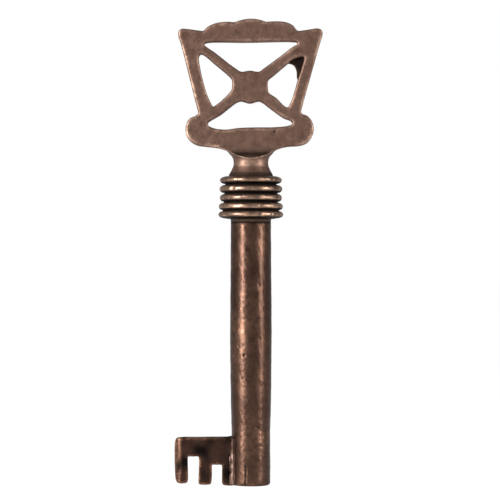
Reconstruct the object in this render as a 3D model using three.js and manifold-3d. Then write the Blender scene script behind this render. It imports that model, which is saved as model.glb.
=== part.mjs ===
// A barrel key of old bronze: an openwork bow cast with its neck, a turned collar of five rings,
// a bored barrel and a warded bit, brazed together. Millimetres, +Z up.
// The origin is on the key's axis at the barrel's end. The bow lies in the XZ plane and the bit
// points towards -X.
import * as THREE from 'three';
import { mergeVertices } from 'three/addons/utils/BufferGeometryUtils.js';
import Module from 'manifold-3d';

const wasm = await Module();
wasm.setup();

// Barrel: a tube with a slight belly, bored from its end, with a socket for the bow's tenon on top
const BARREL_LENGTH = 43.0;
const BARREL_END_RADIUS = 3.18;
const BARREL_BELLY_RADIUS = 3.42;
const BARREL_BELLY_HEIGHT = 23.0;
const BARREL_TOP_RADIUS = 3.31;
const BARREL_CORNER_RADIUS = 0.6;
const BORE_RADIUS = 1.8;
const BORE_DEPTH = 20.0;
const BORE_TIP_HEIGHT = 1.0;
const BORE_MOUTH_CHAMFER = 0.25;
const SOCKET_SPARE_DEPTH = 0.5;

// Collar: a lip and five turned rings, listed from the barrel up
const COLLAR_LIP_HEIGHT = 0.5;
const COLLAR_LIP_RADIUS = 3.31;
const RING_PITCH = 1.42;
const RING_RADII = [5.32, 5.25, 5.1, 5.15, 5.07];
const GROOVE_RADIUS = 4.4;
const RING_FULLNESS = 0.8;

// Neck and tenon, in one casting with the bow
const NECK_FOOT_RADIUS = 3.6;
const NECK_WAIST_RADIUS = 2.82;
const NECK_WAIST_HEIGHT = 2.0;
const NECK_HEIGHT = 4.6;
const NECK_FLARE_RADIUS = 5.6;
const NECK_SCOOP_HEIGHT = 2.8;
const TENON_RADIUS = 1.9;
const TENON_CLEARANCE = 0.05;
const TENON_DEPTH = 6.0;

// Bow: heights are measured from the top of the neck, where the bow's lower edge lies
const BOW_THICKNESS = 2.8;
const BOW_EDGE_ROUND = 0.35;
const BOW_CROWN_HEIGHT = 21.0;
const BOW_CROWN_HALF_WIDTH = 2.6;
const BOW_CROWN_RISE = 0.55;
const BOW_SHOULDER_HALF_WIDTH = 7.7;
const BOW_SHOULDER_DROP = 2.0;
const BOW_SHOULDER_CREST = 0.3;
const BOW_SHOULDER_ROUND = 0.7;
const BOW_EAR_HALF_WIDTH = 11.78;
const BOW_EAR_DROP = 1.6;
const BOW_EAR_ROUND = 0.65;
const BOW_WAIST_HALF_WIDTH = 8.4;
const BOW_WAIST_HEIGHT = 5.75;
const BOW_LOBE_RADIUS = 2.6;
const BOW_LOBE_CENTRE = 7.87;
const BOW_LOBE_HEIGHT = 3.0;

// Windows in the bow, parted by two crossed bars and a boss
const TOP_BAR_WIDTH = 4.0;
const BOTTOM_BAR_WIDTH = 3.2;
const WINDOW_TOP_HALF_WIDTH = 8.9;
const WINDOW_WAIST_HALF_WIDTH = 6.1;
const WINDOW_WAIST_HEIGHT = 6.2;
const WINDOW_FOOT_HALF_WIDTH = 6.8;
const WINDOW_FOOT_RISE = 0.7;
const BAR_WIDTH = 1.85;
const BAR_ANGLE = THREE.MathUtils.degToRad(39);
const BAR_REACH = 10.6;
const BAR_FOOT_REACH = 8.6;
const BOSS_WIDTH = 6.1;
const BOSS_HEIGHT = 5.1;
const BOSS_CROWN = 0.2;
const BOSS_RISE = 9.85;

// Bit: a plate with two ward cuts, a round outer edge and a tongue let into the barrel
const BIT_REACH = 12.52;
const BIT_HEIGHT = 7.86;
const BIT_THICKNESS = 2.7;
const BIT_CORNER_RADIUS = 0.5;
const OUTER_TOOTH_WIDTH = 2.22;
const OUTER_WARD_WIDTH = 1.81;
const OUTER_WARD_DEPTH = 4.74;
const MIDDLE_TOOTH_WIDTH = 2.13;
const INNER_WARD_WIDTH = 1.63;
const INNER_WARD_DEPTH = 3.4;
const OUTER_TOOTH_LIFT = 0.38;
const MIDDLE_TOOTH_LIFT = 0.16;
const TONGUE_THICKNESS = 1.5;
const TONGUE_DEPTH = 0.9;
const TONGUE_CLEARANCE = 0.05;
const BIT_SHOULDER_GAP = 0.1;

// Braze in the two corners between the bit and the barrel
const BRAZE_LEG = 0.7;
const BRAZE_CLEARANCE = 0.1;

// Smoothness
const ROUND_STEPS = 48;
const RING_STEPS = 8;
const BELLY_STEPS = 8;
const NECK_STEPS = 12;
const FILLET_STEPS = 4;

// How far a cutter or a joined piece runs past its neighbour, so that no faces coincide
const OVERRUN = 1;

// Heights along the axis
const collarHeight = COLLAR_LIP_HEIGHT + RING_PITCH * RING_RADII.length;
const neckBase = BARREL_LENGTH + collarHeight;
const bowBase = neckBase + NECK_HEIGHT;

function bronze(colour, roughness) {
  return new THREE.MeshStandardMaterial({ color: colour, roughness, metalness: 1.0 });
}

function point(x, y) {
  return new THREE.Vector2(x, y);
}

// A profile of radius and height turned round the key's axis
function turned(profile) {
  const geometry = new THREE.LatheGeometry(profile, ROUND_STEPS);
  geometry.rotateX(Math.PI / 2);
  return geometry;
}

// An outline of width and height, given a thickness along Y and centred on the XZ plane
function plate(shape, thickness, edgeRound) {
  const geometry = new THREE.ExtrudeGeometry(shape, {
    depth: thickness - 2 * edgeRound,
    bevelEnabled: edgeRound > 0,
    bevelThickness: edgeRound,
    bevelSize: edgeRound,
    bevelOffset: -edgeRound,
    bevelSegments: 2,
    curveSegments: 8,
  });
  geometry.translate(0, 0, edgeRound - thickness / 2);
  geometry.rotateX(Math.PI / 2);
  return geometry;
}

// A plan outline of X and Y, raised along Z
function raised(shape, bottom, top) {
  const geometry = new THREE.ExtrudeGeometry(shape, {
    depth: top - bottom,
    bevelEnabled: false,
    curveSegments: 10,
  });
  geometry.translate(0, 0, bottom);
  return geometry;
}

function solid(geometry) {
  const bare = geometry.clone();
  bare.deleteAttribute('normal');
  bare.deleteAttribute('uv');
  const merged = mergeVertices(bare, 1e-4);
  return new wasm.Manifold(new wasm.Mesh({
    numProp: 3,
    vertProperties: new Float32Array(merged.attributes.position.array),
    triVerts: new Uint32Array(merged.index.array),
  }));
}

function geometryOf(body) {
  const mesh = body.getMesh();
  const geometry = new THREE.BufferGeometry();
  geometry.setAttribute('position', new THREE.BufferAttribute(mesh.vertProperties, 3));
  geometry.setIndex(new THREE.BufferAttribute(mesh.triVerts, 1));
  geometry.computeVertexNormals();
  return geometry;
}

function named(name, geometry, material) {
  const mesh = new THREE.Mesh(geometry, material);
  mesh.name = name;
  return mesh;
}

// The barrel's radius at a height: a straight run at the end, a belly, then a slight taper
function barrelRadius(height) {
  const below = height < BARREL_BELLY_HEIGHT;
  const edge = below ? BARREL_END_RADIUS : BARREL_TOP_RADIUS;
  const reach = below ? BARREL_BELLY_HEIGHT - BIT_HEIGHT : BARREL_LENGTH - BARREL_BELLY_HEIGHT;
  const away = Math.min(1, Math.abs(height - BARREL_BELLY_HEIGHT) / reach);
  const share = away * away * (3 - 2 * away);
  return BARREL_BELLY_RADIUS + (edge - BARREL_BELLY_RADIUS) * share;
}

function makeBarrel() {
  const profile = [
    point(0, BORE_DEPTH + BORE_TIP_HEIGHT),
    point(BORE_RADIUS, BORE_DEPTH),
    point(BORE_RADIUS, BORE_MOUTH_CHAMFER),
    point(BORE_RADIUS + BORE_MOUTH_CHAMFER, 0),
  ];
  for (let step = 0; step <= FILLET_STEPS; step += 1) {
    const turn = (step / FILLET_STEPS) * (Math.PI / 2);
    profile.push(point(
      BARREL_END_RADIUS - BARREL_CORNER_RADIUS * (1 - Math.sin(turn)),
      BARREL_CORNER_RADIUS * (1 - Math.cos(turn)),
    ));
  }
  for (let step = 0; step <= BELLY_STEPS; step += 1) {
    const height = BIT_HEIGHT + (BARREL_LENGTH - BIT_HEIGHT) * (step / BELLY_STEPS);
    profile.push(point(barrelRadius(height), height));
  }
  const socketRadius = TENON_RADIUS + TENON_CLEARANCE;
  const socketFloor = BARREL_LENGTH - TENON_DEPTH - SOCKET_SPARE_DEPTH;
  profile.push(point(socketRadius, BARREL_LENGTH));
  profile.push(point(socketRadius, socketFloor));
  profile.push(point(0, socketFloor));

  const tongueRoot = BARREL_END_RADIUS - TONGUE_DEPTH;
  const slotHalf = TONGUE_THICKNESS / 2 + TONGUE_CLEARANCE;
  const slot = new THREE.Shape([
    point(-tongueRoot, -slotHalf),
    point(-tongueRoot, slotHalf),
    point(-2 * BARREL_BELLY_RADIUS, slotHalf),
    point(-2 * BARREL_BELLY_RADIUS, -slotHalf),
  ]);
  const cutter = raised(slot, -OVERRUN, BIT_HEIGHT + TONGUE_CLEARANCE);
  return geometryOf(solid(turned(profile)).subtract(solid(cutter)));
}

function makeCollar() {
  const boreRadius = TENON_RADIUS + TENON_CLEARANCE;
  const base = BARREL_LENGTH;
  const profile = [
    point(boreRadius, base),
    point(COLLAR_LIP_RADIUS, base),
    point(COLLAR_LIP_RADIUS, base + COLLAR_LIP_HEIGHT),
  ];
  RING_RADII.forEach((radius, ring) => {
    const bottom = base + COLLAR_LIP_HEIGHT + ring * RING_PITCH;
    for (let step = 0; step < RING_STEPS; step += 1) {
      const turn = (step / RING_STEPS) * Math.PI;
      profile.push(point(
        GROOVE_RADIUS + (radius - GROOVE_RADIUS) * Math.sin(turn) ** RING_FULLNESS,
        bottom + (RING_PITCH / 2) * (1 - Math.cos(turn)),
      ));
    }
  });
  profile.push(point(GROOVE_RADIUS, base + collarHeight));
  profile.push(point(boreRadius, base + collarHeight));
  profile.push(point(boreRadius, base));
  return turned(profile);
}

// The neck's outline seen from the front: foot, waist, then a flare into the bow
function neckProfile() {
  const profile = [point(0, neckBase), point(NECK_FOOT_RADIUS, neckBase)];
  for (let step = 1; step <= NECK_STEPS; step += 1) {
    const height = NECK_HEIGHT * (step / NECK_STEPS);
    const above = Math.max(0, height - NECK_WAIST_HEIGHT) / (NECK_HEIGHT - NECK_WAIST_HEIGHT);
    const below = Math.max(0, NECK_WAIST_HEIGHT - height) / NECK_WAIST_HEIGHT;
    const radius = NECK_WAIST_RADIUS
      + (NECK_FOOT_RADIUS - NECK_WAIST_RADIUS) * below ** 2
      + (NECK_FLARE_RADIUS - NECK_WAIST_RADIUS) * above ** 3;
    profile.push(point(radius, neckBase + height));
  }
  profile.push(point(0, neckBase + NECK_HEIGHT));
  return profile;
}

// The neck seen from the side: round below, then scooped front and back down to the bow's thickness
function neckScoop() {
  const wide = 2 * NECK_FLARE_RADIUS;
  const face = BOW_THICKNESS / 2;
  const start = neckBase + NECK_SCOOP_HEIGHT;
  const end = neckBase + NECK_HEIGHT;
  const scoop = new THREE.Shape();
  scoop.moveTo(-wide, neckBase - OVERRUN);
  scoop.lineTo(wide, neckBase - OVERRUN);
  scoop.lineTo(wide, start);
  scoop.lineTo(NECK_WAIST_RADIUS, start);
  scoop.quadraticCurveTo(face, start + (end - start) / 2, face, end);
  scoop.lineTo(face, end + OVERRUN);
  scoop.lineTo(-face, end + OVERRUN);
  scoop.lineTo(-face, end);
  scoop.quadraticCurveTo(-face, start + (end - start) / 2, -NECK_WAIST_RADIUS, start);
  scoop.lineTo(-wide, start);
  const geometry = new THREE.ExtrudeGeometry(scoop, {
    depth: 2 * wide,
    bevelEnabled: false,
    curveSegments: 8,
  });
  geometry.translate(0, 0, -wide);
  geometry.rotateX(Math.PI / 2);
  geometry.rotateZ(Math.PI / 2);
  return geometry;
}

// The bow's outer outline: crown, two shoulders, ears, straight sides and two round lower lobes
function bowOutline() {
  const top = bowBase + BOW_CROWN_HEIGHT;
  const notch = top - BOW_CROWN_RISE;
  const shoulder = top - BOW_SHOULDER_DROP;
  const ear = top - BOW_EAR_DROP;
  const waist = bowBase + BOW_WAIST_HEIGHT;
  const lobe = bowBase + BOW_LOBE_HEIGHT;
  const lobeStart = Math.acos(Math.min(1, (BOW_WAIST_HALF_WIDTH - BOW_LOBE_CENTRE) / BOW_LOBE_RADIUS));
  const outline = new THREE.Shape();
  outline.moveTo(-BOW_CROWN_HALF_WIDTH, notch);
  outline.quadraticCurveTo(0, top + BOW_CROWN_RISE, BOW_CROWN_HALF_WIDTH, notch);
  outline.bezierCurveTo(
    2 * BOW_CROWN_HALF_WIDTH, notch + BOW_SHOULDER_CREST,
    BOW_SHOULDER_HALF_WIDTH - BOW_SHOULDER_ROUND, notch,
    BOW_SHOULDER_HALF_WIDTH, shoulder,
  );
  outline.lineTo(BOW_EAR_HALF_WIDTH - BOW_EAR_ROUND, ear);
  outline.quadraticCurveTo(BOW_EAR_HALF_WIDTH, ear, BOW_EAR_HALF_WIDTH, ear - BOW_EAR_ROUND);
  outline.lineTo(BOW_WAIST_HALF_WIDTH, waist);
  outline.absarc(BOW_LOBE_CENTRE, lobe, BOW_LOBE_RADIUS, lobeStart, -Math.PI / 2, true);
  outline.lineTo(NECK_FLARE_RADIUS, bowBase);
  outline.lineTo(-NECK_FLARE_RADIUS, bowBase);
  outline.absarc(-BOW_LOBE_CENTRE, lobe, BOW_LOBE_RADIUS, -Math.PI / 2, Math.PI - lobeStart, true);
  outline.lineTo(-BOW_WAIST_HALF_WIDTH, waist);
  outline.lineTo(-BOW_EAR_HALF_WIDTH, ear - BOW_EAR_ROUND);
  outline.quadraticCurveTo(-BOW_EAR_HALF_WIDTH, ear, BOW_EAR_ROUND - BOW_EAR_HALF_WIDTH, ear);
  outline.lineTo(-BOW_SHOULDER_HALF_WIDTH, shoulder);
  outline.bezierCurveTo(
    BOW_SHOULDER_ROUND - BOW_SHOULDER_HALF_WIDTH, notch,
    -2 * BOW_CROWN_HALF_WIDTH, notch + BOW_SHOULDER_CREST,
    -BOW_CROWN_HALF_WIDTH, notch,
  );
  return outline;
}

function bowOpening() {
  const windowTop = bowBase + BOW_CROWN_HEIGHT - TOP_BAR_WIDTH;
  const windowFoot = bowBase + BOTTOM_BAR_WIDTH;
  const waist = bowBase + WINDOW_WAIST_HEIGHT;
  const opening = new THREE.Path();
  opening.moveTo(-WINDOW_TOP_HALF_WIDTH, windowTop);
  opening.lineTo(-WINDOW_WAIST_HALF_WIDTH, waist);
  opening.lineTo(-WINDOW_FOOT_HALF_WIDTH, windowFoot + WINDOW_FOOT_RISE);
  opening.quadraticCurveTo(-WINDOW_FOOT_HALF_WIDTH, windowFoot, -WINDOW_WAIST_HALF_WIDTH, windowFoot);
  opening.lineTo(WINDOW_WAIST_HALF_WIDTH, windowFoot);
  opening.quadraticCurveTo(
    WINDOW_FOOT_HALF_WIDTH, windowFoot,
    WINDOW_FOOT_HALF_WIDTH, windowFoot + WINDOW_FOOT_RISE,
  );
  opening.lineTo(WINDOW_WAIST_HALF_WIDTH, waist);
  opening.lineTo(WINDOW_TOP_HALF_WIDTH, windowTop);
  opening.closePath();
  return opening;
}

function crossBar(angle) {
  const half = BAR_WIDTH / 2;
  const low = angle > 0 ? BAR_FOOT_REACH : BAR_REACH;
  const high = angle > 0 ? BAR_REACH : BAR_FOOT_REACH;
  const bar = new THREE.Shape([
    point(-low, -half),
    point(high, -half),
    point(high, half),
    point(-low, half),
  ]);
  const geometry = plate(bar, BOW_THICKNESS, BOW_EDGE_ROUND);
  geometry.rotateY(-angle);
  geometry.translate(0, 0, bowBase + BOSS_RISE);
  return geometry;
}

function bowBoss() {
  const x = BOSS_WIDTH / 2;
  const z = BOSS_HEIGHT / 2;
  const boss = new THREE.Shape();
  boss.moveTo(-x, -z);
  boss.quadraticCurveTo(0, -z - 2 * BOSS_CROWN, x, -z);
  boss.lineTo(x, z);
  boss.quadraticCurveTo(0, z + 2 * BOSS_CROWN, -x, z);
  boss.lineTo(-x, -z);
  const geometry = plate(boss, BOW_THICKNESS, BOW_EDGE_ROUND);
  geometry.translate(0, 0, bowBase + BOSS_RISE);
  return geometry;
}

function makeBow() {
  const outline = bowOutline();
  outline.holes.push(bowOpening());
  const tenonEnd = BARREL_LENGTH - TENON_DEPTH;
  const tenon = turned([
    point(0, tenonEnd),
    point(TENON_RADIUS, tenonEnd),
    point(TENON_RADIUS, neckBase + OVERRUN),
    point(0, neckBase + OVERRUN),
  ]);
  const neck = solid(turned(neckProfile())).intersect(solid(neckScoop()));
  const whole = solid(plate(outline, BOW_THICKNESS, BOW_EDGE_ROUND))
    .add(solid(crossBar(BAR_ANGLE)))
    .add(solid(crossBar(-BAR_ANGLE)))
    .add(solid(bowBoss()))
    .add(neck)
    .add(solid(tenon));
  return geometryOf(whole);
}

// The bit seen from the front, less its tongue
function bitFace(root) {
  const outer = -BIT_REACH;
  const outerWard = outer + OUTER_TOOTH_WIDTH;
  const middleTooth = outerWard + OUTER_WARD_WIDTH;
  const innerWard = middleTooth + MIDDLE_TOOTH_WIDTH;
  const innerStrip = innerWard + INNER_WARD_WIDTH;
  const round = BIT_CORNER_RADIUS;
  const face = new THREE.Shape();
  face.moveTo(root, 0);
  face.lineTo(root, BIT_HEIGHT);
  face.lineTo(outer + round, BIT_HEIGHT);
  face.quadraticCurveTo(outer, BIT_HEIGHT, outer, BIT_HEIGHT - round);
  face.lineTo(outer, OUTER_TOOTH_LIFT + round);
  face.quadraticCurveTo(outer, OUTER_TOOTH_LIFT, outer + round, OUTER_TOOTH_LIFT);
  face.lineTo(outerWard, OUTER_TOOTH_LIFT);
  face.lineTo(outerWard, OUTER_WARD_DEPTH);
  face.lineTo(middleTooth, OUTER_WARD_DEPTH);
  face.lineTo(middleTooth, MIDDLE_TOOTH_LIFT);
  face.lineTo(innerWard, MIDDLE_TOOTH_LIFT);
  face.lineTo(innerWard, INNER_WARD_DEPTH);
  face.lineTo(innerStrip, INNER_WARD_DEPTH);
  face.lineTo(innerStrip, 0);
  return face;
}

function makeBit() {
  const half = BIT_THICKNESS / 2;
  const shoulder = -(BARREL_END_RADIUS + BIT_SHOULDER_GAP);
  const tongueRoot = TONGUE_DEPTH - BARREL_END_RADIUS;
  const plan = new THREE.Shape();
  plan.moveTo(shoulder, -half);
  plan.lineTo(shoulder, half);
  plan.lineTo(half - BIT_REACH, half);
  plan.absarc(half - BIT_REACH, 0, half, Math.PI / 2, (3 * Math.PI) / 2, false);
  const body = solid(plate(bitFace(shoulder), 2 * BIT_THICKNESS, 0))
    .intersect(solid(raised(plan, -OVERRUN, BIT_HEIGHT + OVERRUN)));
  const tongue = raised(new THREE.Shape([
    point(shoulder - OVERRUN, -TONGUE_THICKNESS / 2),
    point(tongueRoot, -TONGUE_THICKNESS / 2),
    point(tongueRoot, TONGUE_THICKNESS / 2),
    point(shoulder - OVERRUN, TONGUE_THICKNESS / 2),
  ]), 0, BIT_HEIGHT);
  return geometryOf(body.add(solid(tongue)));
}

// A concave fillet of braze that fills one corner between the bit's face and the barrel
function makeBraze(side) {
  const half = BIT_THICKNESS / 2;
  const seat = BARREL_END_RADIUS + BRAZE_CLEARANCE;
  const low = Math.asin(half / seat);
  const high = low + BRAZE_LEG / seat;
  const legEnd = point(-seat * Math.cos(low) - BRAZE_LEG, -half);
  const corner = point(-seat * Math.cos(low), -half);
  const climb = point(-seat * Math.cos(high), -seat * Math.sin(high));
  const outline = new THREE.QuadraticBezierCurve(legEnd, corner, climb).getPoints(FILLET_STEPS);
  for (let step = 1; step < FILLET_STEPS; step += 1) {
    const angle = high + (low - high) * (step / FILLET_STEPS);
    outline.push(point(-seat * Math.cos(angle), -seat * Math.sin(angle)));
  }
  outline.push(corner);
  const section = new THREE.Shape(outline);
  const geometry = raised(section, BARREL_CORNER_RADIUS, BIT_HEIGHT);
  if (side > 0) {
    geometry.rotateX(Math.PI);
    geometry.translate(0, 0, BARREL_CORNER_RADIUS + BIT_HEIGHT);
  }
  return geometry;
}

const key = new THREE.Group();
key.add(named('bow', makeBow(), bronze('#6e5548', 0.42)));
key.add(named('collar', makeCollar(), bronze('#6a5244', 0.4)));
key.add(named('barrel', makeBarrel(), bronze('#7a5c4a', 0.38)));
key.add(named('bit', makeBit(), bronze('#4a352c', 0.45)));
key.add(named('bit_braze_front', makeBraze(-1), bronze('#8a7062', 0.4)));
key.add(named('bit_braze_back', makeBraze(1), bronze('#8a7062', 0.4)));

export default key;
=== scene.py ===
import bmesh
import bpy
import numpy as np
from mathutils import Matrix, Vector
from mathutils.geometry import delaunay_2d_cdt


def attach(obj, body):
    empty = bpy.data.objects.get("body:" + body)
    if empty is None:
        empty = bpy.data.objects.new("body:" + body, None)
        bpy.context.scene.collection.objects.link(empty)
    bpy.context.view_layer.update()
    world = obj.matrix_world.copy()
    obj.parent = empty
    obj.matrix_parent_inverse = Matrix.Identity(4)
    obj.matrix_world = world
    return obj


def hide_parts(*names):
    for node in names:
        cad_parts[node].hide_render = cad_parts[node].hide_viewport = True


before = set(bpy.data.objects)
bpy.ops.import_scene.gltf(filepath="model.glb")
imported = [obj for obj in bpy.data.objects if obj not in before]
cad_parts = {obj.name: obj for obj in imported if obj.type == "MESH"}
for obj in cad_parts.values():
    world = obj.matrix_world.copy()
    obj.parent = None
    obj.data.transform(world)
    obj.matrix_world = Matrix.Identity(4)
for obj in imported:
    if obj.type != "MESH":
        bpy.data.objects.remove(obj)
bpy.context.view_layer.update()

# The photograph's scale: one pixel is this many metres at the key's middle plane
MM = 0.001
PIXEL = 0.1635 * MM
AXIS_PX = 250.9
END_PX = 485.1
CENTRE_PX = 250.0
FRAME_PX = 500
CAMERA_DISTANCE = 450 * MM

# Lamps: name, degrees round from the front, and watts
LAMPS = (("lamp_left", -50, 4.2), ("lamp_right", 62, 2.0))
LAMP_WIDTH = 35 * MM
LAMP_HEIGHT = 500 * MM
LAMP_DISTANCE = 400 * MM
LAMP_RISE = 0.1
SURROUND_LEVEL = 0.36
FLOOR_SIDE = 3.0
FLOOR_GLOW = 1.12
FLOOR_GLOW_SHARE = 0.85

BOW_HALF = 1.4 * MM
BOW_ROUND = 0.36 * MM
BARREL_LENGTH = 43.0 * MM
BIT_HALF = 1.35 * MM
BIT_TIP = -12.5 * MM


def camera_and_light():
    """Camera on the photograph's line of sight and two soft side lamps."""
    scene = bpy.context.scene
    scene.view_settings.view_transform = "Standard"
    data = bpy.data.cameras.new("camera")
    data.sensor_width = 36
    data.lens = data.sensor_width * CAMERA_DISTANCE / (FRAME_PX * PIXEL)
    data.clip_start = 0.01
    camera = bpy.data.objects.new("camera", data)
    scene.collection.objects.link(camera)
    centre = Vector(((CENTRE_PX - AXIS_PX) * PIXEL, 0, (END_PX - CENTRE_PX) * PIXEL))
    camera.location = centre + Vector((0, -CAMERA_DISTANCE, 0))
    camera.rotation_euler = (np.pi / 2, 0, 0)
    scene.camera = camera
    for name, turn, power in LAMPS:
        lamp = bpy.data.lights.new(name, "AREA")
        lamp.shape = "RECTANGLE"
        lamp.size = LAMP_WIDTH
        lamp.size_y = LAMP_HEIGHT
        lamp.energy = power
        holder = bpy.data.objects.new(name, lamp)
        scene.collection.objects.link(holder)
        angle = np.radians(turn)
        holder.location = centre + LAMP_DISTANCE * Vector((np.sin(angle), -np.cos(angle), LAMP_RISE))
        holder.rotation_euler = (centre - holder.location).to_track_quat("-Z", "Y").to_euler()


def add(tree, kind, settings=None, links=None):
    """One shader node with its settings, and its inputs linked or set."""
    node = tree.nodes.new(kind)
    for key, value in (settings or {}).items():
        setattr(node, key, value)
    for key, value in (links or {}).items():
        if isinstance(value, bpy.types.NodeSocket):
            tree.links.new(value, node.inputs[key])
        else:
            node.inputs[key].default_value = value
    return node


def linear(code):
    """An sRGB hex colour turned to linear light."""
    srgb = np.array([int(code[i:i + 2], 16) for i in (1, 3, 5)]) / 255
    light = np.where(srgb <= 0.04045, srgb / 12.92, ((srgb + 0.055) / 1.055) ** 2.4)
    return (*light, 1.0)


def per_mm(size):
    """Noise scale for a feature of this many millimetres, on Object coordinates in metres."""
    return 1 / (size * MM)


def surround():
    """Pale world, white where the camera looks straight at it."""
    world = bpy.data.worlds.new("pale_surround")
    bpy.context.scene.world = world
    world.use_nodes = True
    tree = world.node_tree
    tree.nodes.clear()
    path = add(tree, "ShaderNodeLightPath")
    seen = add(tree, "ShaderNodeMath", {"operation": "MAXIMUM"},
               {0: path.outputs["Is Camera Ray"], 1: path.outputs["Is Transmission Ray"]})
    strength = add(tree, "ShaderNodeMapRange", None,
                   {"Value": seen.outputs[0], "To Min": SURROUND_LEVEL, "To Max": 1.0})
    back = add(tree, "ShaderNodeBackground", None, {"Color": (1, 1, 1, 1), "Strength": strength.outputs[0]})
    add(tree, "ShaderNodeOutputWorld", None, {"Surface": back.outputs[0]})


def floor():
    """A wide pale floor under the key, white to the camera but for the key's shadow."""
    side = FLOOR_SIDE
    mesh = bpy.data.meshes.new("floor")
    corners = [(-side, -side, 0), (side, -side, 0), (side, side, 0), (-side, side, 0)]
    mesh.from_pydata(corners, [], [(0, 1, 2, 3)])
    piece = bpy.data.objects.new("floor", mesh)
    bpy.context.scene.collection.objects.link(piece)
    paint = bpy.data.materials.new("matt_white_paper")
    paint.use_nodes = True
    tree = paint.node_tree
    tree.nodes.clear()
    path = add(tree, "ShaderNodeLightPath")
    matt = add(tree, "ShaderNodeBsdfDiffuse", None, {"Color": (0.85, 0.85, 0.85, 1)})
    glow = add(tree, "ShaderNodeEmission", None, {"Strength": FLOOR_GLOW})
    share = add(tree, "ShaderNodeMath", {"operation": "MULTIPLY"},
                {0: path.outputs["Is Camera Ray"], 1: FLOOR_GLOW_SHARE})
    mix = add(tree, "ShaderNodeMixShader", None,
              {0: share.outputs[0], 1: matt.outputs[0], 2: glow.outputs[0]})
    add(tree, "ShaderNodeOutputMaterial", None, {"Surface": mix.outputs[0]})
    mesh.materials.append(paint)


def bronze(name, skin, rubbed_and_highlight, grain_mm, roughness):
    """Patinated bronze: brown oxide skin, copper on abraded places and as a painted highlight, near black as
    patina in pits and as painted shade in grooves, on walls, under rings and in the neck's scoop.

    The eye gets a soft brown metal gloss, mottled at a millimetre, with fine cast grain.
    """
    material = bpy.data.materials.new(name)
    material.use_nodes = True
    tree = material.node_tree
    tree.nodes.clear()
    place = add(tree, "ShaderNodeTexCoord").outputs["Object"]
    mottle = add(tree, "ShaderNodeTexNoise", None,
                 {"Vector": place, "Scale": per_mm(1.3), "Detail": 8.0, "Roughness": 0.75})
    shade = add(tree, "ShaderNodeValToRGB", None, {"Fac": mottle.outputs["Fac"]})
    dark, light = shade.color_ramp.elements
    base = np.array(linear(skin))
    dark.position, light.position = 0.32, 0.68
    dark.color = tuple(base * [0.8, 0.75, 0.74, 1])
    light.color = tuple(base * [1.16, 1.16, 1.2, 1])
    wear_and_highlight = add(tree, "ShaderNodeAttribute", {"attribute_name": "wear_and_highlight"}).outputs["Fac"]
    patina_and_painted_shade = add(tree, "ShaderNodeAttribute", {"attribute_name": "patina_and_painted_shade"}).outputs["Fac"]
    broken = add(tree, "ShaderNodeTexNoise", None,
                 {"Vector": place, "Scale": per_mm(0.8), "Detail": 5.0})
    patch = add(tree, "ShaderNodeMapRange", None,
                {"Value": broken.outputs["Fac"], "From Min": 0.3, "From Max": 0.62})
    # The abrasion attribute also holds a painted highlight band round the neck's waist, mixed here to the
    # copper colour.
    worn_and_highlit = add(tree, "ShaderNodeMath", {"operation": "MULTIPLY", "use_clamp": True},
               {0: wear_and_highlight, 1: patch.outputs[0]})
    bare_and_highlit = add(tree, "ShaderNodeMix", {"data_type": "RGBA"},
               {0: worn_and_highlit.outputs[0], 6: shade.outputs["Color"], 7: linear(rubbed_and_highlight)})
    # Near black #0d0806 by the second attribute: patina in pits and on the scar, painted shade in the
    # collar's grooves and under its rings, on the plate's side walls and in the neck's scoop.
    black = add(tree, "ShaderNodeMix", {"data_type": "RGBA"},
                {0: patina_and_painted_shade, 6: bare_and_highlit.outputs[2], 7: linear("#0d0806")})
    gloss = add(tree, "ShaderNodeMapRange", None,
                {"Value": mottle.outputs["Fac"], "From Min": 0.3, "From Max": 0.7,
                 "To Min": roughness - 0.07, "To Max": roughness + 0.1})
    dull = add(tree, "ShaderNodeMath", {"operation": "MULTIPLY_ADD"},
               {0: patina_and_painted_shade, 1: 0.3, 2: gloss.outputs[0]})
    grain = add(tree, "ShaderNodeTexNoise", None,
                {"Vector": place, "Scale": per_mm(grain_mm), "Detail": 6.0, "Roughness": 0.7})
    bump = add(tree, "ShaderNodeBump", None,
               {"Height": grain.outputs["Fac"], "Strength": 0.22, "Distance": 0.06 * MM})
    metal = add(tree, "ShaderNodeBsdfPrincipled", None,
                {"Base Color": black.outputs[2], "Metallic": 0.92,
                 "Roughness": dull.outputs[0], "Normal": bump.outputs[0]})
    add(tree, "ShaderNodeOutputMaterial", None, {"Surface": metal.outputs[0]})
    return material


def swell(points, size, seed):
    """Smooth random field of about unit height: twelve plane waves near one wavelength, summed."""
    draw = np.random.default_rng(seed)
    heading = draw.normal(size=(12, 3))
    heading /= np.linalg.norm(heading, axis=1)[:, None]
    phase = draw.uniform(0, 2 * np.pi, 12)
    wave = 2 * np.pi / (size * MM) * draw.uniform(0.6, 1.5, 12)
    return np.sin(points @ (heading * wave[:, None]).T + phase).sum(axis=1) / np.sqrt(6)


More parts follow.
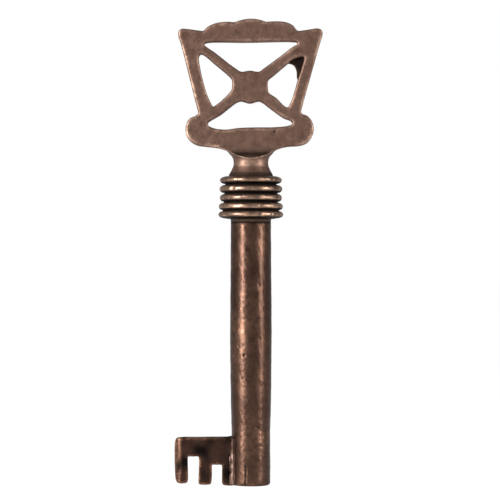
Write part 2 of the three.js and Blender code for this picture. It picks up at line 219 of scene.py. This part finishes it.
def piece_of(name, node, material, points, faces, wear_and_highlight, patina_and_painted_shade):
    """One shell mesh at the origin, doubles merged and turned outwards, riding on the root."""
    mesh = bpy.data.meshes.new(name)
    mesh.from_pydata(points.tolist(), [], faces)
    for label, values in (("wear_and_highlight", wear_and_highlight), ("patina_and_painted_shade", patina_and_painted_shade)):
        layer = mesh.attributes.new(label, "FLOAT", "POINT")
        layer.data.foreach_set("value", np.clip(values, 0, 1).astype(np.float32))
    shell = bmesh.new()
    shell.from_mesh(mesh)
    bmesh.ops.remove_doubles(shell, verts=shell.verts, dist=1e-7)
    bmesh.ops.dissolve_degenerate(shell, edges=shell.edges, dist=1e-8)
    bmesh.ops.recalc_face_normals(shell, faces=shell.faces)
    shell.to_mesh(mesh)
    shell.free()
    mesh.shade_smooth()
    mesh.materials.append(material)
    piece = bpy.data.objects.new(name, mesh)
    bpy.context.scene.collection.objects.link(piece)
    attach(piece, "root")
    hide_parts(node)
    return piece


def grid_faces(rows, columns, first=0):
    """Quads of a grid closed round its columns."""
    row, column = np.meshgrid(np.arange(rows - 1), np.arange(columns), indexing="ij")
    after = (column + 1) % columns
    corner = np.stack([row * columns + column, row * columns + after,
                       (row + 1) * columns + after, (row + 1) * columns + column], axis=-1)
    return (corner.reshape(-1, 4) + first).tolist()


def turned(radius, height, columns):
    """A profile of radius and height carried round the axis: x and y are radius times cosine and sine."""
    angle = np.linspace(0, 2 * np.pi, columns, endpoint=False)
    x = radius[:, None] * np.cos(angle)
    y = radius[:, None] * np.sin(angle)
    z = np.repeat(height[:, None], columns, axis=1)
    return np.stack([x, y, z], axis=-1).reshape(-1, 3)


# Barrel: silhouette radii by height, and its pits by height, angle from the front, width and depth
BARREL_HEIGHTS = np.array([0.6, 8.9, 14, 23, 30, 38, 43]) * MM
BARREL_RADII = np.array([3.18, 3.18, 3.31, 3.42, 3.39, 3.32, 3.31]) * MM
BORE_RADIUS = 1.8 * MM
BORE_DEPTH = 20 * MM
BORE_MOUTH = 0.25 * MM
BARREL_CORNER = 0.55 * MM
INNER_WALL_LIMIT = 2.7 * MM
PITS = ((32.8, 24, 0.45, 0.06), (21.3, -18, 0.5, 0.09), (20.4, 15, 0.35, 0.07), (24, 26, 0.4, 0.06),
        (22.8, -37, 0.45, 0.07), (12.6, 17, 0.4, 0.07), (9.6, 19, 0.7, 0.1), (36, -30, 0.4, 0.05),
        (17.5, -25, 0.4, 0.06), (28, 10, 0.35, 0.05), (5.5, -40, 0.4, 0.06), (6.6, 30, 0.35, 0.06))


def barrel():
    """Bore tip, bore wall, mouth, end corner and outer wall as one turned profile, with pits and a scar."""
    turn = np.linspace(0, np.pi / 2, 8)
    wall = np.linspace(0.6 * MM, BARREL_LENGTH, 300)
    radius = np.concatenate([
        [0, BORE_RADIUS, BORE_RADIUS, BORE_RADIUS + BORE_MOUTH],
        BARREL_RADII[0] - BARREL_CORNER + BARREL_CORNER * np.sin(turn),
        np.interp(wall, BARREL_HEIGHTS, BARREL_RADII), [BORE_RADIUS, 0]])
    height = np.concatenate([
        [BORE_DEPTH + MM, BORE_DEPTH, BORE_MOUTH, 0], BARREL_CORNER * (1 - np.cos(turn)), wall,
        [BARREL_LENGTH, BARREL_LENGTH]])
    columns = 170
    points = turned(radius, height, columns)
    span = np.hypot(points[:, 0], points[:, 1])
    outer = span > INNER_WALL_LIMIT
    side = np.degrees(np.arctan2(points[:, 0], -points[:, 1]))
    dip = 0.012 * MM * swell(points, 3.5, 11) + 0.006 * MM * swell(points, 0.9, 12) - 0.02 * MM
    hollow = np.zeros(len(points))
    for level, place, width, depth in PITS:
        across = np.radians(side - place) * span
        away = np.hypot(points[:, 2] - level * MM, across) / (width * MM / 2)
        hollow += np.exp(-away ** 2 * 1.6) * depth
    across = np.radians(side + 17 - 3 * np.sin(points[:, 2] / (1.5 * MM))) * span
    scar = np.exp(-(across / (0.12 * MM)) ** 2) * (points[:, 2] < 3.4 * MM)
    dip = dip - hollow * MM - 0.06 * MM * scar
    scale = np.where(outer, 1 + dip / np.maximum(span, MM), 1)
    points[:, 0] *= scale
    points[:, 1] *= scale
    low = points[:, 2] < 0.5 * MM
    wear_and_highlight = 0.12 + 0.14 * swell(points, 6, 13) + 0.3 * (low & outer)
    # Darker in the pits and along the scar, near black inside the bore and over the top half millimetre
    # under the collar.
    patina_and_painted_shade = hollow * 6 + scar * 0.7 + (span < 1.9 * MM) * 0.8
    patina_and_painted_shade += np.clip((points[:, 2] - 42.5 * MM) / (0.4 * MM), 0, 1) * 0.8
    piece_of("barrel_tube", "barrel", BARREL_METAL, points,
             grid_faces(len(radius), columns), wear_and_highlight, patina_and_painted_shade)


# Collar in millimetres: each ring's centre and crest radius from the barrel up, then the radius of
# the groove under each ring and of the seat on top
RINGS = ((44.2, 5.31), (45.54, 5.24), (46.95, 5.09), (48.38, 5.14), (49.92, 5.06))
GROOVES = (3.9, 4.6, 4.42, 4.35, 4.2, 3.62)
COLLAR_BASE = 43
LIP_TOP = 43.5
COLLAR_TOP = 50.6
COLLAR_BORE = 1.95


def collar():
    """Five beads: between neighbouring grooves the radius rises as a flattened half ellipse."""
    radius = [np.array([COLLAR_BORE, 3.2, 3.3, 3.3, 3.36])]
    height = [np.array([COLLAR_BASE, COLLAR_BASE, 43.08, 43.4, LIP_TOP])]
    # Painted shade: the collar's bore, base and lip are darkened near black.
    ring_shade_and_patina = [np.array([0.9, 0.9, 0.5, 0.5, 0.9])]
    centres = [level for level, crest in RINGS]
    edges = [LIP_TOP] + [(a + b) / 2 for a, b in zip(centres, centres[1:])] + [COLLAR_TOP]
    for index, (level, crest) in enumerate(RINGS):
        t = np.linspace(-0.97, 0.97, 34)
        bottom, top = edges[index], edges[index + 1]
        centre = (bottom + top) / 2
        base = np.where(t < 0, GROOVES[index], GROOVES[index + 1])
        radius.append(base + (crest - base) * np.clip(1 - np.abs(t * 1.12) ** 2.2, 0, 1) ** 0.55)
        # Painted shade on each ring's lower side and near its top edge, running into the grooves, where
        # patina also lies.
        ring_shade_and_patina.append(np.clip((-t - 0.28) / 0.2, 0, 1) + np.clip((t - 0.8) / 0.15, 0, 1))
        height.append(centre + t * (top - bottom) / 2)
    radius.append(np.array([GROOVES[-1], COLLAR_BORE, COLLAR_BORE]))
    height.append(np.array([COLLAR_TOP, COLLAR_TOP, COLLAR_BASE]))
    ring_shade_and_patina.append(np.ones(3))
    radius = np.concatenate(radius) * MM
    height = np.concatenate(height) * MM
    columns = 300
    points = turned(radius, height, columns)
    span = np.hypot(points[:, 0], points[:, 1])
    crest = np.clip((span - 4.75 * MM) / (0.4 * MM), 0, 1)
    dents = np.clip(swell(points, 1.6, 21) - 0.9, 0, 2) * 0.07 * MM
    scale = 1 - crest * (dents + 0.012 * MM * (1 + swell(points, 2.4, 22))) / np.maximum(span, MM)
    points[:, 0] *= scale
    points[:, 1] *= scale
    wear_and_highlight = crest * (0.75 + 0.3 * swell(points, 3, 23))
    patina_and_painted_shade = np.repeat(np.concatenate(ring_shade_and_patina), columns) * 0.96
    piece_of("collar_rings", "collar", COLLAR_METAL, points,
             grid_faces(len(radius), columns), wear_and_highlight, patina_and_painted_shade)


def at_pixel(points):
    """Photograph pixels to metres across and up the key's middle plane."""
    pixel = np.array(points, dtype=float)
    return np.stack([(pixel[:, 0] - AXIS_PX) * PIXEL, (END_PX - pixel[:, 1]) * PIXEL], axis=1)


def smooth_loop(points, spacing):
    """Closed Catmull-Rom curve through the points, stepped evenly along each stretch."""
    ring = at_pixel(points)
    out = []
    for index in range(len(ring)):
        before, start, end, after = (ring[(index + k - 1) % len(ring)] for k in range(4))
        length = np.linalg.norm(end - start)
        t = np.linspace(0, 1, max(2, int(length / spacing) + 1), endpoint=False)[:, None]
        knots = [0.0]
        for a, b in ((before, start), (start, end), (end, after)):
            knots.append(knots[-1] + max(np.sqrt(np.linalg.norm(b - a)), 1e-9))
        u = knots[1] + t * (knots[2] - knots[1])
        a1 = (knots[1] - u) / (knots[1] - knots[0]) * before + (u - knots[0]) / (knots[1] - knots[0]) * start
        a2 = (knots[2] - u) / (knots[2] - knots[1]) * start + (u - knots[1]) / (knots[2] - knots[1]) * end
        a3 = (knots[3] - u) / (knots[3] - knots[2]) * end + (u - knots[2]) / (knots[3] - knots[2]) * after
        b1 = (knots[2] - u) / (knots[2] - knots[0]) * a1 + (u - knots[0]) / (knots[2] - knots[0]) * a2
        b2 = (knots[3] - u) / (knots[3] - knots[1]) * a2 + (u - knots[1]) / (knots[3] - knots[1]) * a3
        out.append((knots[2] - u) / (knots[2] - knots[1]) * b1 + (u - knots[1]) / (knots[2] - knots[1]) * b2)
    return np.concatenate(out)


def inside(points, loops):
    """Even-odd test of points against all loops at once."""
    odd = np.zeros(len(points), bool)
    for loop in loops:
        a, b = loop, np.roll(loop, -1, axis=0)
        for lo in range(0, len(points), 4000):
            p = points[lo:lo + 4000, None]
            rise = np.where(b[:, 1] == a[:, 1], 1e-12, b[:, 1] - a[:, 1])
            cross = (a[:, 1] > p[..., 1]) != (b[:, 1] > p[..., 1])
            reach = (b[:, 0] - a[:, 0]) * (p[..., 1] - a[:, 1]) / rise + a[:, 0]
            odd[lo:lo + 4000] ^= (cross & (p[..., 0] < reach)).sum(axis=1) % 2 == 1
    return odd


def nearest(points, border):
    """Distance from each point to the closest border point, in batches."""
    batch = 2000
    parts = []
    for low in range(0, len(points), batch):
        gap = points[low:low + batch, None] - border[None]
        parts.append(np.hypot(gap[..., 0], gap[..., 1]).min(axis=1))
    return np.concatenate(parts)


def rounded_plate(loops, half, edge, spacing):
    """Flat plate: a half-stadium profile carried along each loop, and its two faces triangulated.

    Returns points, faces and a rim value: 1 on the outer edge, less on a window's edge, 0 inside.
    """
    turn = np.linspace(0, np.pi / 2, 6)
    inset = edge * (1 - np.concatenate([np.sin(turn), np.sin(turn)[::-1]]))
    depth = np.concatenate([-(half - edge) - edge * np.cos(turn),
                            (half - edge) + edge * np.cos(turn)[::-1]])
    points, faces, rim, rims = [], [], [], []
    count = 0
    for index, loop in enumerate(loops):
        ahead, behind = np.roll(loop, -1, axis=0), np.roll(loop, 1, axis=0)
        area = np.sum(loop[:, 0] * ahead[:, 1] - ahead[:, 0] * loop[:, 1])
        if (area > 0) != (index == 0):
            loop, ahead, behind = loop[::-1], behind[::-1], ahead[::-1]
        tangent = ahead - behind
        tangent /= np.linalg.norm(tangent, axis=1)[:, None]
        inward = np.stack([-tangent[:, 1], tangent[:, 0]], axis=1)
        flat = loop[None] + inset[:, None, None] * inward[None]
        grid = np.stack([flat[..., 0], np.repeat(depth[:, None], len(loop), 1), flat[..., 1]], axis=-1)
        points.append(grid.reshape(-1, 3))
        faces += grid_faces(len(inset), len(loop), count)
        share = 1.0 if index == 0 else 0.45
        rim.append(np.full(len(inset) * len(loop), share))
        count += grid.shape[0] * grid.shape[1]
        rims.append(flat[0])
    low, high = rims[0].min(axis=0), rims[0].max(axis=0)
    x, z = np.meshgrid(np.arange(low[0], high[0], spacing), np.arange(low[1], high[1], spacing))
    x[::2] += spacing / 2
    fill = np.stack([x.ravel(), z.ravel()], axis=1)
    fill = fill[inside(fill, rims)]
    border = np.concatenate(rims)
    fill = fill[nearest(fill, border) > 0.55 * spacing]
    edges, start = [], 0
    for loop in rims:
        ids = np.arange(start, start + len(loop))
        edges += np.stack([ids, np.roll(ids, -1)], axis=1).tolist()
        start += len(loop)
    unit = 1000.0
    flat = np.concatenate([border, fill]) * unit
    net = delaunay_2d_cdt([Vector(p) for p in flat], edges, [], 0, 1e-6)
    spots = np.array([tuple(p) for p in net[0]]) / unit
    triangles = np.array([face for face in net[2] if len(face) == 3])
    triangles = triangles[inside(spots[triangles].mean(axis=1), rims)]
    for y in (-half, half):
        face_points = np.stack([spots[:, 0], np.full(len(spots), y), spots[:, 1]], axis=1)
        points.append(face_points)
        faces += (triangles + count).tolist()
        gap = nearest(spots, border)
        rim.append(0.5 * np.exp(-(gap / (0.1 * MM)) ** 2))
        count += len(spots)
    return np.concatenate(points), faces, np.concatenate(rim)


# Outlines by pixel of the photograph, at the edges' middle
BOW_OUTLINE = (
    (178.4, 36), (178.9, 31.5), (181.5, 29.3), (186.5, 29.3), (194, 30.3), (202.4, 31.3), (203.8, 31.1),
    (206.5, 28.2), (212, 25), (219, 22.9), (227, 22.2), (233.6, 22.6), (235.6, 22.3), (241, 20.5),
    (250.5, 19.1), (260, 20.2), (265.6, 22), (267.4, 22.1), (274, 21.8), (282, 22), (288, 23.3),
    (293, 26), (297.2, 31), (298.8, 31.3), (308, 30.1), (317.5, 28.9), (321.6, 30.5), (322.5, 34.5),
    (319.9, 44), (314.3, 63.5), (309.7, 80), (303, 104), (301.2, 112.2), (302.2, 114), (307, 116),
    (311.5, 121), (313.7, 128.5), (313, 134), (310, 140), (306, 143.8), (300, 145.9), (287, 147),
    (278, 149.2), (268, 153), (232, 153), (226, 150.6), (218.5, 148.5), (206, 146.9), (197.5, 145.6),
    (191, 142), (187.1, 137), (185.6, 130.5), (186.6, 124), (189.5, 119), (195.6, 116), (198.4, 113.6),
    (198.1, 112), (196, 104), (190, 80), (184, 56), (180.8, 44))
TOP_WINDOW = ((205.2, 43.6), (250, 42.6), (292, 42.0), (297.2, 42.8), (296.6, 45), (293, 47), (280.6, 56.5),
              (264, 68.6), (259, 72), (250, 71), (241, 72), (236, 69), (230.5, 65.2), (215.6, 53.5),
              (206.5, 47.2), (204.4, 45.2))
LEFT_WINDOW = ((199, 57), (200.8, 54.6), (203.9, 55.4), (214.8, 64.4), (228.9, 76.4), (231.8, 80),
               (231.6, 90), (229.9, 92.6), (220.9, 101.6), (215, 106), (213, 106.8), (211.4, 104),
               (207.3, 95), (203.6, 83), (200.6, 70))
RIGHT_WINDOW = ((268.3, 80.6), (273.4, 76.2), (284.2, 67), (293, 60), (299, 57.6), (303.8, 57.6),
                (303.6, 61), (297.6, 80), (294.6, 91), (290, 104), (287.4, 107.6), (284, 106),
                (276.4, 98.4), (268.8, 93), (268, 89))
# Rough casting flash left in a corner of the right window, set back from both faces
FLASH_WEB = ((286.5, 63), (291, 59), (304.6, 56.4), (304.4, 62), (298.6, 81), (296.9, 78), (296.6, 72),
             (294.8, 67), (292, 64.6))
BOTTOM_WINDOW = ((236.6, 103), (241, 101.6), (250, 103.6), (259, 101.6), (263, 103.4), (271.1, 109.6),
                 (284.1, 118.6), (291, 121.4), (292.2, 124), (288, 126), (274.5, 127.4), (254.5, 127.6),
                 (238.5, 128.2), (226, 129.8), (214.5, 128.6), (208.4, 125.6), (208.2, 123), (211, 120.8),
                 (220.3, 115.4), (228, 109.4))

# Neck: full width by pixel row, and half the depth left by the scoops front and back
NECK_ROWS = np.array([175.9, 174.5, 172.5, 169.5, 166.5, 163.5, 160.5, 158.5, 156.5, 154.5, 152.5,
                      150.5, 149.5, 148.5, 147.5, 145.5])
NECK_WIDTHS = np.array([44, 43.6, 41.2, 38.1, 35.4, 34.5, 34.9, 36, 38.1, 42.2, 45.2, 49.4, 54, 60, 66, 68])
SCOOP_ROWS = np.array([160, 158.5, 157, 155.6, 152.7, 150, 147, 145])
SCOOP_HALF = np.array([3.3, 2.95, 2.6, 2.3, 1.8, 1.56, 1.43, 1.39])


def neck():
    """Loft of circles cut by a slab: depth is the soft minimum of the circle's and the scoop's."""
    row = np.linspace(175.9, 145.6, 190)
    radius = np.interp(row, NECK_ROWS[::-1], NECK_WIDTHS[::-1] / 2) * PIXEL
    radius = np.convolve(np.pad(radius, 3, "edge"), np.ones(7) / 7, "valid")
    slab = np.interp(row, SCOOP_ROWS[::-1], SCOOP_HALF[::-1]) * MM
    slab = np.where(row > 160, 9 * MM, slab)
    columns = 220
    angle = np.linspace(0, 2 * np.pi, columns, endpoint=False)
    x = radius[:, None] * np.cos(angle)
    y = radius[:, None] * np.sin(angle)
    soft = 0.05 * MM
    size = np.abs(y)
    cut = (size + slab[:, None] - np.sqrt((size - slab[:, None]) ** 2 + soft ** 2)) / 2
    cut = np.maximum(cut, 0)
    z = np.repeat(((END_PX - row) * PIXEL)[:, None], columns, axis=1)
    points = np.stack([x, np.sign(y) * cut, z], axis=-1)
    crease = np.exp(-((size - slab[:, None]) / (0.16 * MM)) ** 2)
    # Painted shade: a dark band in the scoop below the bow's face.
    shade = np.exp(-((row[:, None] - 154.5) / 3.2) ** 2) * (size > slab[:, None])
    # Painted shade: darker where the neck flares into the collar.
    flare_shade = np.clip((row[:, None] - 171) / 3, 0, 1) * np.ones_like(size)
    # Painted highlight: a light copper band round the neck's waist, carried in the abrasion value.
    waist_highlight = np.clip(1 - np.abs(row[:, None] - 163) / 5, 0, 1) * 0.5
    caps = [[0, 0, points[0, 0, 2]], [0, 0, points[-1, 0, 2]]]
    flat = np.concatenate([points.reshape(-1, 3), caps])
    last = len(row) * columns
    faces = grid_faces(len(row), columns)
    ids = np.arange(columns)
    after = (ids + 1) % columns
    faces += np.stack([after, ids, np.full(columns, last)], axis=1).tolist()
    top = last - columns
    faces += np.stack([ids + top, after + top, np.full(columns, last + 1)], axis=1).tolist()
    wear_and_highlight = np.concatenate([(crease + waist_highlight).ravel(), [0, 0]])
    patina_and_painted_shade = np.concatenate([(0.8 * shade + 0.75 * flare_shade).ravel(), [0, 0]])
    return flat, faces, wear_and_highlight, patina_and_painted_shade


def bow():
    """The plate with its four windows, gently uneven, with the neck lofted under it."""
    loops = [smooth_loop(BOW_OUTLINE, 0.22 * MM)]
    loops += [smooth_loop(w, 0.22 * MM) for w in (TOP_WINDOW, LEFT_WINDOW, RIGHT_WINDOW, BOTTOM_WINDOW)]
    points, faces, rim = rounded_plate(loops, BOW_HALF, BOW_ROUND, 0.3 * MM)
    dip = 0.012 * MM * (1 + swell(points, 2.6, 31)) + 0.006 * MM * (1 + swell(points, 0.8, 32))
    pit_x, pit_z = at_pixel([(274.5, 131.5)])[0]
    away = np.hypot(points[:, 0] - pit_x, points[:, 2] - pit_z) / (0.28 * MM)
    pit = np.exp(-away ** 2) * (points[:, 1] < 0)
    points[:, 1] -= np.sign(points[:, 1]) * np.minimum(dip + 0.25 * MM * pit, 0.5 * MM)
    wear_and_highlight = rim * (0.4 + 0.3 * swell(points, 5, 33))
    # Painted shade: the plate's side walls, round the outline and the windows, are darkened near black; the
    # pit's dark is patina.
    patina_and_painted_shade = pit + 0.8 * (np.abs(points[:, 1]) < 0.9 * MM)
    web_points, web_faces, web_rim = rounded_plate([smooth_loop(FLASH_WEB, 0.2 * MM)],
                                                   0.5 * MM, 0.12 * MM, 0.25 * MM)
    web_points[:, 1] += 0.05 * MM * swell(web_points, 0.7, 34)
    faces += [[i + len(points) for i in face] for face in web_faces]
    points = np.concatenate([points, web_points])
    wear_and_highlight = np.concatenate([wear_and_highlight, 0.15 * web_rim])
    patina_and_painted_shade = np.concatenate([patina_and_painted_shade, 0.9 - 0.2 * web_rim])
    n_points, n_faces, neck_wear_and_highlight, neck_painted_shade = neck()
    faces += [[i + len(points) for i in face] for face in n_faces]
    piece_of("bow_casting", "bow", BOW_METAL, np.concatenate([points, n_points]), faces,
             np.concatenate([wear_and_highlight, neck_wear_and_highlight]), np.concatenate([patina_and_painted_shade, neck_painted_shade]))


BIT_OUTLINE = (
    (233.6, 437), (226, 436.9), (200, 437.1), (180, 437.4), (176.4, 438.3), (175, 441.5), (174.5, 457),
    (175, 472), (175.8, 479), (177.4, 482), (180.5, 482.9), (185, 482.7), (187.5, 481.6), (188, 479),
    (187.9, 470), (187.9, 457.2), (188.4, 456.2), (193, 456.1), (198.3, 456.2), (198.9, 457.2), (198.9, 470),
    (198.6, 481), (199.2, 483.5), (201.4, 484.1), (208, 484.1), (210.6, 483.4), (211.5, 481), (212, 472),
    (212, 465.4), (212.5, 464.4), (217, 464.3), (221.4, 464.4), (221.9, 465.4), (222, 475), (222.2, 482.5),
    (223.6, 484.4), (226, 484.8), (233.6, 484.8))


def bit():
    """The warded plate, its outer edge drawn to a full round by a circular taper of its depth."""
    points, faces, rim = rounded_plate([smooth_loop(BIT_OUTLINE, 0.2 * MM)], BIT_HALF, 0.2 * MM, 0.24 * MM)
    points[:, 2] = np.maximum(points[:, 2], 0.02 * MM)
    reach = np.clip((BIT_TIP + BIT_HALF - points[:, 0]) / BIT_HALF, 0, 0.995)
    points[:, 1] *= np.sqrt(1 - reach ** 2)
    points[:, 1] *= 1 - 0.012 * (1 + swell(points, 2.2, 41))
    wear_and_highlight = 0.6 * rim + 0.3 * (reach > 0.2)
    patina_and_painted_shade = 0.35 + 0.35 * swell(points, 2.8, 42) - 0.5 * (reach > 0)
    piece_of("bit_plate", "bit", BIT_METAL, points, faces, wear_and_highlight, patina_and_painted_shade)


def braze(side, node):
    """Concave fillet: an arc from the bit's face to the barrel, carried up the joint."""
    rows = np.linspace(0.12, 7.75, 90) * MM
    turn = np.linspace(0, 1, 14)
    face = np.array([-3.42, -1.34])
    wall = np.array([-2.72, -1.7])
    root = np.array([-2.95, -1.36])
    arc = ((1 - turn) ** 2)[:, None] * face + (2 * turn * (1 - turn))[:, None] * root
    arc = arc + (turn ** 2)[:, None] * wall
    section = np.concatenate([arc, [[-2.5, -1.6], [-2.7, -1.2], [-3.7, -1.2]]]) * MM
    grid = np.zeros((len(rows), len(section), 3))
    grid[..., 0] = section[:, 0]
    grid[..., 1] = section[:, 1] * -side
    grid[..., 2] = rows[:, None]
    points = grid.reshape(-1, 3)
    faces = grid_faces(len(rows), len(section))
    faces.append(list(range(len(section)))[::-1])
    faces.append(list(range(len(points) - len(section), len(points))))
    points[:, 1] += 0.02 * MM * swell(points, 1.2, 51) * side
    wear_and_highlight = np.clip((6.2 * MM - points[:, 2]) / MM, 0, 1) * 0.55
    piece_of(node + "_fillet", node, BRAZE_METAL, points, faces, wear_and_highlight, 0.3 - wear_and_highlight / 3)


BOW_METAL = bronze("patinated_cast_bronze", "#6b5347", "#b99a85", 0.22, 0.48)
COLLAR_METAL = bronze("patinated_turned_bronze", "#675347", "#b8957c", 0.25, 0.34)
BARREL_METAL = bronze("handled_bronze_tube", "#49352b", "#86634f", 0.2, 0.3)
BIT_METAL = bronze("filed_dark_bronze", "#3f2c24", "#a87c62", 0.22, 0.36)
BRAZE_METAL = bronze("tarnished_braze", "#45332b", "#94786a", 0.2, 0.3)

camera_and_light()
surround()
floor()
barrel()
collar()
bow()
bit()
braze(1, "bit_braze_front")
braze(-1, "bit_braze_back")
